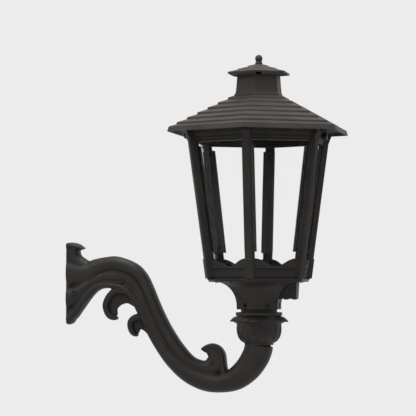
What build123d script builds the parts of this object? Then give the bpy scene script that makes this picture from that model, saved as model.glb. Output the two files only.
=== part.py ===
"""Gas lantern on a scrolled wall bracket.

A cast aluminium S-scroll arm leaves a wall plate at X = 0 and carries a six-sided lantern
on a 3 inch tenon.  Millimetres; +X from the wall to the lantern, +Z up, +Y to the rear.
The origin is the centre of the flat mounting face.
"""
import math
import os

from build123d import *

# ---- the arm, measured from the mounting face -------------------------------------------
reach = 412.0                 # wall face to lantern axis
crest_z = 35.0                # centre line of the arm along its crest
wall_z = 3.0                  # centre line of the arm where it meets the wall
crest_start_x = 62.0
crest_end_x = 140.0           # the crest turns down here
bend_z = -201.0               # centre line along the bottom bend
bend_run = 170.0              # from the lantern axis back to the foot of the diagonal
crest_in_radius = 60.0
crest_out_radius = 62.0
bend_radius = 143.0
rise_radius = 72.0
stem_r = 25.0                 # round stem
arm_wall = 6.0
leaf_half_thickness = 14.0
wall_end_half_width = 26.0
wall_end_top = 84.0
wall_end_bottom = -84.0
screw_head_r = 5.0
screw_head_h = 2.5
arm_screw_r = 2.5
arm_screw_places = [(18.0, -18.0), (120.0, 9.0), (315.0, -166.0)]

# ---- wall plate -------------------------------------------------------------------------
plate_thickness = 5.0
plate_width = 36.0
plate_height = 126.0
bolt_spacing = 90.0
bolt_hole_r = 4.5
tongue_length = 26.0
tongue_half_thickness = 5.0
tongue_top = -8.0
tongue_bottom = -31.0

# ---- gas line ---------------------------------------------------------------------------
tube_r = 4.75                 # 3/8 inch copper tube
inlet_nut_r = 7.5
inlet_nut_length = 11.0

# ---- collar and tenon -------------------------------------------------------------------
shoulder_z = -127.0           # top of the arm's round neck
shoulder_r = 30.0
shoulder_height = 12.0
spigot_height = 22.0
collar_top = -58.5
tenon_r = 38.1                # 3 inch tenon
collar_cup_wall = 9.3         # thickness of the cup round the tenon
collar_rim_lap = 1.4          # the rim stands out beyond the cup
collar_rim_height = 7.0
leaf_reach = 15.1             # from the cup to a leaf's tip
leaf_tip_z = -78.5
tenon_wall = 5.0
tenon_floor = 8.0
tenon_screw_r = 2.0
tenon_screw_circle = 22.0
fit_gap = 0.1                 # radial gap between pieces that slide together

# ---- lamp base --------------------------------------------------------------------------
neck_z = -52.5                # bottom edge of the hexagonal neck
neck_corner_wall = 11.9       # from the tenon to a corner of the neck
neck_height = 7.0             # straight part of the neck below the flare
flare_r = 97.0                # corner radius where the flare meets the flange
flange_r = 112.0
flange_thickness = 3.0
flare_facets = 8
ring_z = 8.2                  # top of the flange, underside of the lower frame ring
socket_depth = 20.5           # how far the tenon goes in
stop_thickness = 4.0
stop_r = 33.0
base_wall = 5.0
mouth_r = 80.0                # corner radius of the open top of the base
set_screw_z = -44.5
set_screw_r = 6.0
set_screw_length = 3.0
base_screw_r = 2.0

# ---- control box and gas cock -----------------------------------------------------------
box_reach = 83.0              # lantern axis to the outer face of the box
box_half_width = 20.0
box_bottom = -30.5
box_top = 5.0
box_wall = 2.5
box_draft = 2.0               # narrower by this much at the bottom
cover_thickness = 2.5
cock_z = -23.0
cock_angle = 60.0             # the cock's spindle leaves through this flat
cock_r = 10.0
cock_bottom = -31.0
cock_top = -4.0
branch_r = 6.5
branch_reach = 36.0
spindle_r = 3.5
running_gap = 0.05
knob_r = 8.5
knob_stand = 3.0              # from the neck's corner radius to the knob
knob_length = 10.0

# ---- burner and floor -------------------------------------------------------------------
floor_thickness = 2.0
floor_r = 95.0
air_hole_r = 6.0
air_hole_circle = 52.0
burner_r = 5.0
burner_top = 35.0
tip_height = 8.0
tip_r = 6.0

# ---- lantern frame ----------------------------------------------------------------------
foot_z = 14.9                 # top of the ring's lip
lip_r = 114.5
head_top = 316.0              # top of the upper frame ring
post_r_foot = 115.6           # outer face of a corner post at foot_z
post_r_head = 158.4           # outer face of a corner post at head_top
post_width = 15.0
shoe_width = 17.8
shoe_proud = 1.6
shoe_foot = 11.5              # the shoe hangs over the ring's lip
shoe_top = 53.5
block_rise = 17.5             # height of the corner block at the head
block_proud = 3.6
panel_set = 4.5               # ring face behind the post face, at the corner
glass_set = 9.2               # glass face behind the post face, at the corner
shelf_top = 18.0
shelf_inner_r = 96.0
skirt_groove_z = 31.2
skirt_top = 53.2
skirt_valley = 36.8
mound_run = 0.78              # part of each half side over which the skirt swings down
head_height = 21.0
moulding_height = 5.8
moulding_step = 1.25
glass_thickness = 3.0
glass_top = 301.0
pane_edge_gap = 4.0
retainer_leg = 14.5
retainer_thickness = 2.0
retainer_bottom = 67.0
retainer_top = 286.5
retainer_screw_r = 1.8
retainer_screw_inset = 12.0
retainer_screw_seat = 2.2     # the flat head bridges the inside of the bend

# ---- roof, chimney and cap --------------------------------------------------------------
seat_gap = 0.3                # between the roof's seat and the frame
eave_r = 203.0
eave_z = 316.5
fascia_height = 10.7
fascia_lean = 3.7
roof_top_r = 55.6
roof_top_z = 395.4
course_riser = 4.0
first_course = 17.0           # from the fascia to the first step
course_pitch = 22.6
roof_wall = 4.5
flue_r = 42.0
seat_r = 154.0
seat_wall = 4.5
chimney_top = 437.0
chimney_r = 48.6
chimney_waist_r = 51.5
chimney_waist_z = 404.0
bridge_z = 420.0
bridge_thickness = 3.0
bridge_width = 14.0
cap_r = 69.6
cap_z = 441.0
cap_top = 463.7
cap_courses = 3
cap_riser = 1.4
cap_wall = 3.0
hub_r = 9.0
stud_r = 3.0
spacer_r = 6.0
finial_r = 7.8
finial_top = 483.0

# ---- roof hinge and lock ----------------------------------------------------------------
hinge_x = -150.0              # hinge axis, from the lantern axis
hinge_z = 315.0
knuckle_r = 4.5
knuckle_length = 12.0
hinge_pin_r = 2.5
hinge_leaf = 3.0
lock_z = 309.0
lock_screw_r = 2.5
lock_head_r = 8.0
lock_head_length = 8.0
tab_thickness = 2.5
tab_width = 18.0

collar_cup_r = tenon_r + collar_cup_wall
collar_rim_r = collar_cup_r + collar_rim_lap
leaf_tip_r = collar_cup_r + leaf_reach
neck_r = tenon_r + neck_corner_wall
knob_start = neck_r + knob_stand
COS30 = math.cos(math.radians(30))
CORNER_ANGLES = [-90 + 60 * k for k in range(6)]      # first corner faces the front
SIDE_ANGLES = [-60 + 60 * k for k in range(6)]        # first side is front right
LANTERN = Pos(reach, 0, 0)


# ---- shared shapes ----------------------------------------------------------------------
def hex_stack(points):
    """Six-sided solid, flats facing +-X, from (corner radius, height) points up its side."""
    right = [(r * COS30, 0, z) for r, z in points]
    left = [(-x, 0, z) for x, _, z in reversed(right)]
    outline = make_face(Polyline(*right, *left, close=True))
    slab = extrude(outline, amount=2 * max(r for r, _ in points), both=True)
    return slab & (Rot(0, 0, 60) * slab) & (Rot(0, 0, 120) * slab)


def radial_prism(points, width):
    """Prism from (radius, height) points in a plane through the axis, along +X."""
    outline = make_face(Polyline(*[(r, 0, z) for r, z in points], close=True))
    return extrude(outline, amount=width / 2, both=True)


def rod(radius, start, end):
    """Round bar between two points."""
    start, end = Vector(*start), Vector(*end)
    axis = Plane(origin=start, z_dir=end - start)
    return extrude(axis * Circle(radius), amount=(end - start).length)


def block(x, y, z):
    """Box between two limits on each axis."""
    return Pos((x[0] + x[1]) / 2, (y[0] + y[1]) / 2, (z[0] + z[1]) / 2) * Box(
        x[1] - x[0], y[1] - y[0], z[1] - z[0])


def turned(points):
    """Solid of revolution about Z from (radius, height) points."""
    return revolve(make_face(Polyline(*[(r, 0, z) for r, z in points], close=True)), Axis.Z)


def around(piece, angle):
    return Rot(0, 0, angle) * piece


def post_r(z):
    """Radius of the outer face of a corner post at height z."""
    return post_r_foot + (post_r_head - post_r_foot) * (z - foot_z) / (head_top - foot_z)


def panel_r(z):
    return post_r(z) - panel_set


def glass_r(z):
    return post_r(z) - glass_set


# ---- arm --------------------------------------------------------------------------------
diagonal = Vector(reach - bend_run - crest_end_x, bend_z - crest_z).normalized()


def arm_path(top_z):
    """Centre line of the arm, from the wall to top_z in the neck, in the XZ plane."""
    route = FilletPolyline(
        (0, wall_z), (crest_start_x, crest_z), (crest_end_x, crest_z),
        (reach - bend_run, bend_z), (reach, bend_z), (reach, top_z),
        radius=[crest_in_radius, crest_out_radius, bend_radius, rise_radius])
    return Plane.XZ * route


def along_arm(radius, top_z):
    path = arm_path(top_z)
    return sweep(Plane(origin=path @ 0, z_dir=path % 0) * Circle(radius), path=path)


def leaf(edges, half_thickness):
    """Flat leaf from a closed outline in the XZ plane."""
    return extrude(Plane.XZ * make_face(edges), amount=half_thickness, both=True)


def wall_leaf():
    """The broad end of the arm: an upright curled leaf above, a drooping one below."""
    tip, armpit, notch, bulge = (34, wall_end_top - 6), (48, 44), (90, -9), (46, -43)
    return [
        Line((0, wall_end_bottom), (0, wall_end_top)),
        ThreePointArc((0, wall_end_top), (16, wall_end_top + 4), tip),
        ThreePointArc(tip, (28, 62), armpit),
        Line(armpit, (90, 30)),
        Line((90, 30), notch),
        ThreePointArc(notch, (64, -19), bulge),
        ThreePointArc(bulge, (25, -73), (0, wall_end_bottom)),
    ]


def large_hook():
    """Leaf that curls back under the crest; drawn from the point where the crest turns."""
    x, z = crest_end_x, crest_z

    def at(dx, dz):
        return (x + dx, z + dz)
    return [
        ThreePointArc(at(-51, -44), at(-66, -78), at(-48, -110)),
        ThreePointArc(at(-48, -110), at(-40, -112), at(-32, -108)),
        ThreePointArc(at(-32, -108), at(-25, -80), at(10, -86)),
        Line(at(10, -86), at(28, -70)),
        Line(at(28, -70), at(5, -5)),
        Line(at(5, -5), at(-55, -8)),
        Line(at(-55, -8), at(-51, -44)),
    ]


def small_hook():
    """Second leaf, a third of the way down the diagonal; u runs down it, v away below."""
    root = Vector(crest_end_x, crest_z) + diagonal * 92
    side = Vector(diagonal.Y, -diagonal.X)

    def at(u, v):
        return root + diagonal * u + side * v
    return [
        ThreePointArc(at(0, 20), at(10, 49), at(36, 56)),
        ThreePointArc(at(36, 56), at(47, 51), at(50, 42)),
        ThreePointArc(at(50, 42), at(38, 33), at(50, 20)),
        Line(at(50, 20), at(50, 5)),
        Line(at(50, 5), at(0, 5)),
        Line(at(0, 5), at(0, 20)),
    ]


def upper_curl():
    """Leaf that stands up from the bottom bend; drawn from the corner under the lantern."""
    x, z = reach, bend_z

    def at(dx, dz):
        return (x + dx, z + dz)
    return [
        ThreePointArc(at(-66, 22), at(-72, 56), at(-100, 77)),
        ThreePointArc(at(-100, 77), at(-115, 74), at(-125, 65)),
        ThreePointArc(at(-125, 65), at(-114, 51), at(-132, 43)),
        Line(at(-132, 43), at(-115, 12)),
        Line(at(-115, 12), at(-70, 8)),
        Line(at(-70, 8), at(-66, 22)),
    ]


def arm():
    """The whole hollow arm, before it is split down the middle."""
    spigot_top = shoulder_z + spigot_height
    stem = along_arm(stem_r, spigot_top)
    neck = LANTERN * Pos(0, 0, shoulder_z - shoulder_height / 2) * Cylinder(shoulder_r, shoulder_height)
    body = stem + neck + leaf(wall_leaf(), wall_end_half_width)
    for outline in (large_hook(), small_hook(), upper_curl()):
        body += leaf(outline, leaf_half_thickness)
    body -= along_arm(stem_r - arm_wall, spigot_top)
    pocket = plate_thickness + fit_gap
    body -= block((0, pocket), (-plate_width / 2 - fit_gap, plate_width / 2 + fit_gap),
                  (-plate_height / 2 - fit_gap, plate_height / 2 + fit_gap))
    slot = tongue_half_thickness + fit_gap
    body -= block((0, plate_thickness + tongue_length + fit_gap), (-slot, slot),
                  (tongue_bottom - fit_gap, tongue_top + fit_gap))
    body -= [LANTERN * shank for shank in tenon_screw_rods(tenon_screw_r)]
    for i, (x, z) in enumerate(arm_screw_places):
        body -= rod(arm_screw_r, (x, -wall_end_half_width - 1, z), (x, screw_depth(), z))
        body -= rod(screw_head_r + 0.5, (x, -4 * stem_r, z), (x, screw_face(i), z))
    return body & in_front_of_wall()


def in_front_of_wall():
    """Everything on the lamp's side of the mounting face."""
    return block((0, 2 * reach), (-4 * stem_r, 4 * stem_r), (-2 * reach, reach))


def screw_face(which):
    """Where a screw's head sits: on the wide wall end, or on a leaf."""
    return -wall_end_half_width if which == 0 else -leaf_half_thickness


def screw_depth():
    """How far an arm screw reaches into the rear half."""
    return leaf_half_thickness - 4


def half_of(body, side):
    reach_y = 4 * stem_r
    limits = (-reach_y, 0) if side < 0 else (0, reach_y)
    return body & block((-reach, 2 * reach), limits, (-2 * reach, reach))


def arm_screws():
    """Round-head screws that clamp the two halves, the first one through the plate's tongue."""
    screws = []
    for i, (x, z) in enumerate(arm_screw_places):
        face = screw_face(i)
        head = rod(screw_head_r, (x, face - screw_head_h, z), (x, face, z))
        socket = rod(arm_screw_r * 0.8, (x, face - screw_head_h, z), (x, face - 1, z))
        screws.append(head + rod(arm_screw_r, (x, face, z), (x, screw_depth(), z)) - socket)
    return screws


def mounting_plate():
    """Steel plate bolted to the wall; the arm slides over it and is pinned to its tongue."""
    plate = block((0, plate_thickness), (-plate_width / 2, plate_width / 2),
                  (-plate_height / 2, plate_height / 2))
    plate += block((plate_thickness, plate_thickness + tongue_length),
                   (-tongue_half_thickness, tongue_half_thickness), (tongue_bottom, tongue_top))
    for side in (-1, 1):
        z = side * bolt_spacing / 2
        plate -= rod(bolt_hole_r, (-1, 0, z), (plate_thickness + 1, 0, z))
    plate -= along_arm(tube_r + fit_gap, shoulder_z)
    x, z = arm_screw_places[0]
    return plate - rod(arm_screw_r, (x, -plate_width, z), (x, plate_width, z))


def gas_supply_tube():
    """Copper tube from the wall, through the arm and tenon, into the cock."""
    return along_arm(tube_r, cock_bottom + 8) & in_front_of_wall()


def gas_inlet_nut():
    """Compression nut on the tube, just inside the wall plate."""
    start = plate_thickness + 5.0
    path = arm_path(shoulder_z)
    here = path.position_at(start / path.length)
    aim = path.tangent_at(start / path.length)
    nut = extrude(Plane(origin=here, z_dir=aim) * RegularPolygon(inlet_nut_r, 6), amount=inlet_nut_length)
    return nut - along_arm(tube_r + fit_gap / 2, shoulder_z)


# ---- collar and tenon -------------------------------------------------------------------
def leaf_collar():
    """Turned cup round the tenon, with four curled leaf tips."""
    seat = shoulder_z
    cup = turned([
        (stem_r + fit_gap, seat), (shoulder_r, seat), (shoulder_r + 4, seat + 6),
        (shoulder_r + 11, seat + 13), (collar_cup_r - 2, seat + 21), (collar_cup_r, seat + 34),
        (collar_cup_r - 1, collar_top - 17), (collar_cup_r - 3, collar_top - collar_rim_height - 4),
        (collar_rim_r, collar_top - collar_rim_height), (collar_rim_r, collar_top),
        (tenon_r + fit_gap, collar_top), (tenon_r + fit_gap, seat + spigot_height),
        (stem_r + fit_gap, seat + spigot_height)])
    root = collar_cup_r - 4
    curl = make_face([
        Line((root, 0, collar_top - 11), (root, 0, leaf_tip_z - 6)),
        ThreePointArc((root, 0, leaf_tip_z - 6), (leaf_tip_r - 6, 0, leaf_tip_z + 2),
                      (leaf_tip_r, 0, leaf_tip_z)),
        ThreePointArc((leaf_tip_r, 0, leaf_tip_z), (leaf_tip_r - 7, 0, leaf_tip_z + 8),
                      (root, 0, collar_top - 11)),
    ])
    for k in range(4):
        cup += around(extrude(curl, amount=15, both=True), 90 * k)
    return cup


def tenon_screw_rods(radius):
    floor = shoulder_z + spigot_height
    rods = []
    for k in range(3):
        x = tenon_screw_circle * math.cos(math.radians(60 + 120 * k))
        y = tenon_screw_circle * math.sin(math.radians(60 + 120 * k))
        rods.append(rod(radius, (x, y, floor - 14), (x, y, floor + tenon_floor)))
    return rods


def post_tenon():
    """3 inch stub that the lamp base drops on to, screwed to the arm's spigot."""
    low = shoulder_z + spigot_height
    top = neck_z + socket_depth
    inner = tenon_r - tenon_wall
    tube = turned([(stem_r - arm_wall, low), (tenon_r, low), (tenon_r, top), (inner, top),
                   (inner, low + tenon_floor), (stem_r - arm_wall, low + tenon_floor)])
    return tube - tenon_screw_rods(tenon_screw_r)


def tenon_screws():
    top = shoulder_z + spigot_height + tenon_floor
    heads = []
    for shank in tenon_screw_rods(tenon_screw_r):
        centre = shank.center()
        head = rod(tenon_screw_r * 1.4, (centre.X, centre.Y, top), (centre.X, centre.Y, top + 2.5))
        heads.append(shank + head)
    return heads


# ---- lamp base --------------------------------------------------------------------------
def flare(r_low, z_low, r_high, z_high):
    """(radius, height) points of a quarter ellipse, upright at the bottom and level at the top."""
    points = []
    for k in range(flare_facets + 1):
        t = math.radians(90 * k / flare_facets)
        points.append((r_high - (r_high - r_low) * math.cos(t), z_low + (z_high - z_low) * math.sin(t)))
    return points


def lamp_base_outside():
    level = ring_z - flange_thickness
    return hex_stack([(neck_r, neck_z)] + flare(neck_r, neck_z + neck_height, flare_r, level)
                     + [(flange_r, level), (flange_r, ring_z)])


def lamp_base():
    """Cast six-sided trumpet: socket below, hollow body, flange above."""
    stop = neck_z + socket_depth
    level = ring_z - flange_thickness - 2
    cavity = hex_stack([(neck_r - base_wall, stop + 1)]
                       + flare(neck_r - base_wall, stop + stop_thickness, mouth_r, level)
                       + [(mouth_r, ring_z + 1)])
    body = lamp_base_outside() - cavity
    body -= rod(tenon_r + fit_gap, (0, 0, neck_z - 1), (0, 0, stop))
    body -= rod(stop_r, (0, 0, stop - 1), (0, 0, stop + stop_thickness + 1))
    for angle in SIDE_ANGLES:
        hole = rod(set_screw_r, (tenon_r - 2, 0, set_screw_z), (neck_r + 5, 0, set_screw_z))
        body -= around(hole, angle)
    body -= around(rod(spindle_r + 1, (branch_reach, 0, cock_z), (knob_start + 5, 0, cock_z)), cock_angle)
    for x, y in base_screw_places():
        body -= rod(base_screw_r, (x, y, ring_z - 6), (x, y, ring_z + 1))
    return body


def fitter_set_screws():
    """Grub screws, one in each flat of the neck, tightened on the tenon."""
    screws = []
    for angle in SIDE_ANGLES:
        start = tenon_r
        screw = rod(set_screw_r, (start, 0, set_screw_z), (start + set_screw_length, 0, set_screw_z))
        screw &= rod(tenon_r + set_screw_length, (0, 0, set_screw_z - 9), (0, 0, set_screw_z + 9)) - rod(
            tenon_r, (0, 0, set_screw_z - 9), (0, 0, set_screw_z + 9))
        key = Pos(start + set_screw_length, 0, set_screw_z) * Rot(0, 90, 0) * RegularPolygon(3, 6)
        screw -= extrude(key, amount=-2)
        screws.append(around(screw, angle))
    return screws


def base_screw_places():
    """Screws through the flange, beside the middle of each side."""
    distance = (shelf_inner_r + lip_r) / 2 * COS30 - 1
    return [(distance * math.cos(math.radians(a)), distance * math.sin(math.radians(a)))
            for a in SIDE_ANGLES]


def base_screws():
    screws = []
    level = ring_z - flange_thickness
    for x, y in base_screw_places():
        head = rod(base_screw_r + 1.5, (x, y, level - 2), (x, y, level))
        screws.append(head + rod(base_screw_r, (x, y, level), (x, y, ring_z + 6)))
    return screws


# ---- control box ------------------------------------------------------------------------
def box_shell(inset, low, high):
    """Tapered rectangular block out from the lantern axis, smaller by inset all round."""
    def section(z):
        narrow = box_draft * (box_top - z) / (box_top - box_bottom) + inset
        x = (neck_r * COS30 - 12, box_reach - narrow)
        half = box_half_width - narrow
        return Pos((x[0] + x[1]) / 2, 0, z) * Rectangle(x[1] - x[0], 2 * half)
    return loft([section(low), section(high)], ruled=True)


def control_box():
    """Small cast box against the +X flank of the base, open below."""
    shell = box_shell(0, box_bottom + cover_thickness, box_top) - lamp_base_outside()
    hollow = box_shell(box_wall, box_bottom - 1, box_top - box_wall)
    behind_flank = (flank_x() + box_wall, 2 * box_reach)
    hollow &= block(behind_flank, (-box_reach, box_reach), (box_bottom - 2, box_top))
    return shell - hollow - control_box_screw_rods(1.5)


def flank_x():
    """Where the box meets the flare, at the height of its floor."""
    return neck_r * COS30 + 9


def control_box_cover():
    cover = box_shell(0, box_bottom, box_bottom + cover_thickness) - lamp_base_outside()
    return cover - control_box_screw_rods(1.5)


def control_box_screw_rods(radius):
    x = box_reach - box_draft - box_wall - 2.5
    y = box_half_width - box_draft - 3.6
    low, high = box_bottom - 1, box_bottom + cover_thickness
    return [rod(radius, (x - dx, side * y, low), (x - dx, side * y, high))
            for side in (-1, 1) for dx in (0, 18)]


def control_box_screws():
    screws = []
    for shank in control_box_screw_rods(1.5):
        c = shank.center()
        screws.append(shank + rod(2.6, (c.X, c.Y, box_bottom - 1.6), (c.X, c.Y, box_bottom)))
    return screws


def control_module():
    """Potted ignition module standing on the box's cover."""
    low = box_bottom + cover_thickness
    return block((flank_x() + box_wall + 4, box_reach - box_draft - box_wall - 3),
                 (-box_half_width + 8, box_half_width - 8), (low, low + 16))


# ---- gas cock and burner ----------------------------------------------------------------
def gas_cock_body():
    """Brass cock under the floor: tube in below, burner above, spindle out through a flat."""
    body = rod(cock_r, (0, 0, cock_bottom), (0, 0, cock_top))
    body += around(rod(branch_r, (0, 0, cock_z), (branch_reach, 0, cock_z)), cock_angle)
    body -= rod(tube_r, (0, 0, cock_bottom - 1), (0, 0, cock_bottom + 8))
    body -= rod(burner_r, (0, 0, cock_top - 8), (0, 0, cock_top + 1))
    bore = rod(spindle_r + running_gap, (cock_r + 2, 0, cock_z), (branch_reach + 1, 0, cock_z))
    return body - around(bore, cock_angle)


def gas_cock_knob():
    """Spindle and lever knob, a quarter turn from off to full."""
    spindle = rod(spindle_r, (cock_r + 3, 0, cock_z), (knob_start, 0, cock_z))
    knob = rod(knob_r, (knob_start, 0, cock_z), (knob_start + knob_length * 0.6, 0, cock_z))
    grip = block((knob_start, knob_start + knob_length), (-knob_r - 5, knob_r + 1),
                 (cock_z - 2.5, cock_z + 2.5))
    return around(spindle + knob + grip, cock_angle)


def burner_tube():
    return rod(burner_r, (0, 0, cock_top - 8), (0, 0, burner_top)) - rod(
        burner_r - 1.5, (0, 0, cock_top - 9), (0, 0, burner_top + 1))


def burner_tip():
    """Slotted ceramic tip on the burner tube."""
    tip = turned([(0, burner_top), (tip_r, burner_top), (tip_r, burner_top + tip_height * 0.6),
                  (tip_r * 0.6, burner_top + tip_height), (0, burner_top + tip_height)])
    slot = block((-tip_r, tip_r), (-0.6, 0.6),
                 (burner_top + tip_height * 0.5, burner_top + 2 * tip_height))
    return tip - slot


def burner_nut():
    """Hexagon nut that holds the burner to the floor plate."""
    top = ring_z
    nut = Pos(0, 0, top - 5) * extrude(RegularPolygon(burner_r + 5, 6), amount=5)
    return nut - rod(burner_r, (0, 0, top - 6), (0, 0, top + 1))


def floor_plate():
    """Hexagonal plate inside the lower ring, with air holes for the flame."""
    plate = hex_stack([(floor_r, ring_z), (floor_r, ring_z + floor_thickness)])
    for k in range(12):
        angle = math.radians(30 * k)
        x, y = air_hole_circle * math.cos(angle), air_hole_circle * math.sin(angle)
        plate -= rod(air_hole_r, (x, y, ring_z - 1), (x, y, ring_z + floor_thickness + 1))
    return plate - rod(burner_r, (0, 0, ring_z - 1), (0, 0, ring_z + 9))


# ---- lantern frame ----------------------------------------------------------------------
def frame_core():
    """Space inside the corner posts: both rings and the glass between them."""
    head_z = head_top - head_height
    level_1, level_2 = head_z + moulding_height, head_z + 2 * moulding_height
    return hex_stack([
        (lip_r, ring_z), (lip_r, foot_z), (panel_r(foot_z), foot_z), (panel_r(skirt_top), skirt_top),
        (glass_r(skirt_top), skirt_top), (glass_r(head_z), head_z),
        (panel_r(head_z) - 2 * moulding_step, head_z), (panel_r(level_1) - 2 * moulding_step, level_1),
        (panel_r(level_1) - moulding_step, level_1), (panel_r(level_2) - moulding_step, level_2),
        (panel_r(level_2), level_2), (panel_r(head_top), head_top)])


def inside_glass_line(z_low, z_high):
    """Hexagonal space that just clears the outer face of the glass."""
    return hex_stack([(glass_r(z_low) + 0.2, z_low), (glass_r(z_high) + 0.2, z_high)])


def lower_frame_ring():
    """Cast ring: projecting lip, shelf for the glass, scalloped skirt in front of it."""
    groove = 1.4
    ring = hex_stack([
        (lip_r, ring_z), (lip_r, foot_z), (panel_r(foot_z), foot_z),
        (panel_r(skirt_groove_z - 1), skirt_groove_z - 1),
        (panel_r(skirt_groove_z) - groove, skirt_groove_z - 0.7),
        (panel_r(skirt_groove_z) - groove, skirt_groove_z + 0.7),
        (panel_r(skirt_groove_z + 1), skirt_groove_z + 1), (panel_r(skirt_top), skirt_top)])
    ring -= inside_glass_line(shelf_top, skirt_top + 1)
    ring -= hex_stack([(shelf_inner_r, ring_z - 1), (shelf_inner_r, shelf_top + 1)])
    half = panel_r(skirt_top) / 2
    run, rise = mound_run * half / 2, (skirt_top - skirt_valley) / 2
    bend = (run ** 2 + rise ** 2) / (2 * rise)
    turn = math.atan2(rise, run)
    near, drop = bend * math.sin(turn), bend * (1 - math.cos(turn))
    edges = []
    for side in (-1, 1):
        low, middle, high = skirt_valley, skirt_valley + rise, skirt_top
        edges += [
            ThreePointArc((0, 0, low), (0, side * near, low + drop), (0, side * run, middle)),
            ThreePointArc((0, side * run, middle), (0, side * (2 * run - near), high - drop),
                          (0, side * 2 * run, high)),
            Line((0, side * 2 * run, high), (0, side * 2 * run, high + 5))]
    window = make_face(edges + [Line((0, -2 * run, skirt_top + 5), (0, 2 * run, skirt_top + 5))])
    cutter = extrude(window, amount=2 * half, dir=(1, 0, 0))
    for angle in SIDE_ANGLES:
        ring -= around(cutter, angle)
    for x, y in base_screw_places():
        ring -= rod(base_screw_r, (x, y, ring_z - 1), (x, y, ring_z + 6))
    return ring


def upper_frame_ring():
    """Cast ring at the head: flat band with two small mouldings below it."""
    head_z = head_top - head_height
    level_1, level_2 = head_z + moulding_height, head_z + 2 * moulding_height
    ring = hex_stack([
        (panel_r(head_z) - 2 * moulding_step, head_z), (panel_r(level_1) - 2 * moulding_step, level_1),
        (panel_r(level_1) - moulding_step, level_1), (panel_r(level_2) - moulding_step, level_2),
        (panel_r(level_2), level_2), (panel_r(head_top), head_top)])
    ring -= inside_glass_line(head_z - 1, glass_top + 1)
    ring -= hex_stack([(glass_r(head_z) - 8, head_z - 1), (glass_r(head_z) - 8, head_top + 1)])
    lock = panel_r(lock_z) * COS30
    return ring - rod(lock_screw_r + running_gap, (lock - 9, 0, lock_z), (lock + 9, 0, lock_z))


def corner_post():
    """One casting: bar, shoe at the foot, corner block at the head; notched for the corner."""
    back = 16.0
    bar = radial_prism([(post_r(foot_z), foot_z), (post_r(head_top), head_top),
                        (post_r(head_top) - back, head_top), (post_r(foot_z) - back, foot_z)], post_width)
    shoe = radial_prism([
        (post_r(shoe_foot) + shoe_proud, shoe_foot), (post_r(shoe_top) + shoe_proud, shoe_top - 1.5),
        (post_r(shoe_top), shoe_top), (post_r(shoe_top) - back, shoe_top),
        (post_r(shoe_foot) - back, shoe_foot)], shoe_width)
    low = head_top - block_rise
    head = radial_prism([
        (post_r(low), low), (post_r(low + 8) + block_proud / 3, low + 8),
        (post_r(head_top) + block_proud, head_top), (post_r(head_top) - back, head_top),
        (post_r(low) - back, low)], shoe_width)
    post = bar + shoe + head - around(frame_core(), 90)
    return post - retainer_screw_rods(retainer_screw_r, 0)


def glass_pane():
    """Flat trapezoid of glass standing on the shelf; drawn for the +X side."""
    def section(z):
        half = glass_r(z) / 2 - pane_edge_gap
        outer = glass_r(z) * COS30
        return Pos(outer - glass_thickness / 2, 0, z) * Rectangle(glass_thickness, 2 * half)
    return loft([section(shelf_top), section(glass_top)], ruled=True)


def glass_retainer():
    """Bent strip behind each corner that keeps two panes in place; drawn for a corner at +X."""
    face = glass_set + (glass_thickness + 0.2) / COS30
    back = face + retainer_thickness / COS30
    low, high = retainer_bottom, retainer_top
    shell = hex_stack([(post_r(low) - face, low), (post_r(high) - face, high)])
    shell -= hex_stack([(post_r(low) - back, low), (post_r(high) - back, high)])
    half = retainer_leg * COS30
    strip = around(shell, 90) & block((0, 2 * post_r_head), (-half, half), (low, high))
    return strip - retainer_screw_rods(retainer_screw_r, 0)


def retainer_screw_rods(radius, head_length):
    """Two short screws per corner, from behind the strip into the post."""
    back = glass_set + (glass_thickness + 0.2 + retainer_thickness) / COS30 + retainer_screw_seat
    rods = []
    for z in (retainer_bottom + retainer_screw_inset, retainer_top - retainer_screw_inset):
        start, end = post_r(z) - back, post_r(z) - 3.5
        shank = rod(radius, (start, 0, z), (end, 0, z))
        if head_length:
            shank += rod(radius * 1.7, (start - head_length, 0, z), (start, 0, z))
        rods.append(shank)
    return rods


# ---- roof -------------------------------------------------------------------------------
def stepped_slope(outer, inner, first, pitch, count, riser):
    """(radius, height) points of an even slope from outer to inner, broken by upright risers."""
    (r0, z0), (r1, z1) = outer, inner
    slope = (z1 - z0 - count * riser) / (r0 - r1)
    points = [outer]
    for k in range(count):
        r = r0 - first - pitch * k
        z = z0 + (r0 - r) * slope + riser * k
        points += [(r, z), (r, z + riser)]
    return points + [inner]


def roof():
    """Cast hip roof with stepped courses, a leaning fascia and a seat for the frame."""
    shoulder = (eave_r - fascia_lean, eave_z + fascia_height)
    top = (roof_top_r, roof_top_z)
    risers = math.ceil((shoulder[0] - roof_top_r - first_course) / course_pitch)
    slope = stepped_slope(shoulder, top, first_course, course_pitch, risers, course_riser)
    shell = hex_stack([(eave_r, eave_z)] + slope)
    inner_low = (shoulder[0] - roof_wall, shoulder[1] - roof_wall + 1)
    inner_high = (roof_top_r - roof_wall, roof_top_z - roof_wall)
    shell -= hex_stack([(eave_r - roof_wall, eave_z), inner_low, inner_high])
    seat_low = head_top + seat_gap
    fall = (roof_top_z - shoulder[1]) / (shoulder[0] - roof_top_r)
    seat_high = shoulder[1] + (shoulder[0] - seat_r) * fall - 2
    seat = hex_stack([(seat_r, seat_low), (seat_r, seat_high)])
    seat -= hex_stack([(seat_r - seat_wall, seat_low), (seat_r - seat_wall, seat_high)])
    return shell + seat - hex_stack([(flue_r, roof_top_z - 20), (flue_r, roof_top_z + 1)])


def chimney():
    """Six-sided flue that flares on to the roof."""
    shell = hex_stack([(roof_top_r, roof_top_z), (chimney_waist_r + 1.0, roof_top_z + 4),
                       (chimney_waist_r, chimney_waist_z), (chimney_r, chimney_top - 9),
                       (chimney_r, chimney_top)])
    shell -= hex_stack([(flue_r, roof_top_z - 1), (flue_r, chimney_top + 1)])
    return shell


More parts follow.
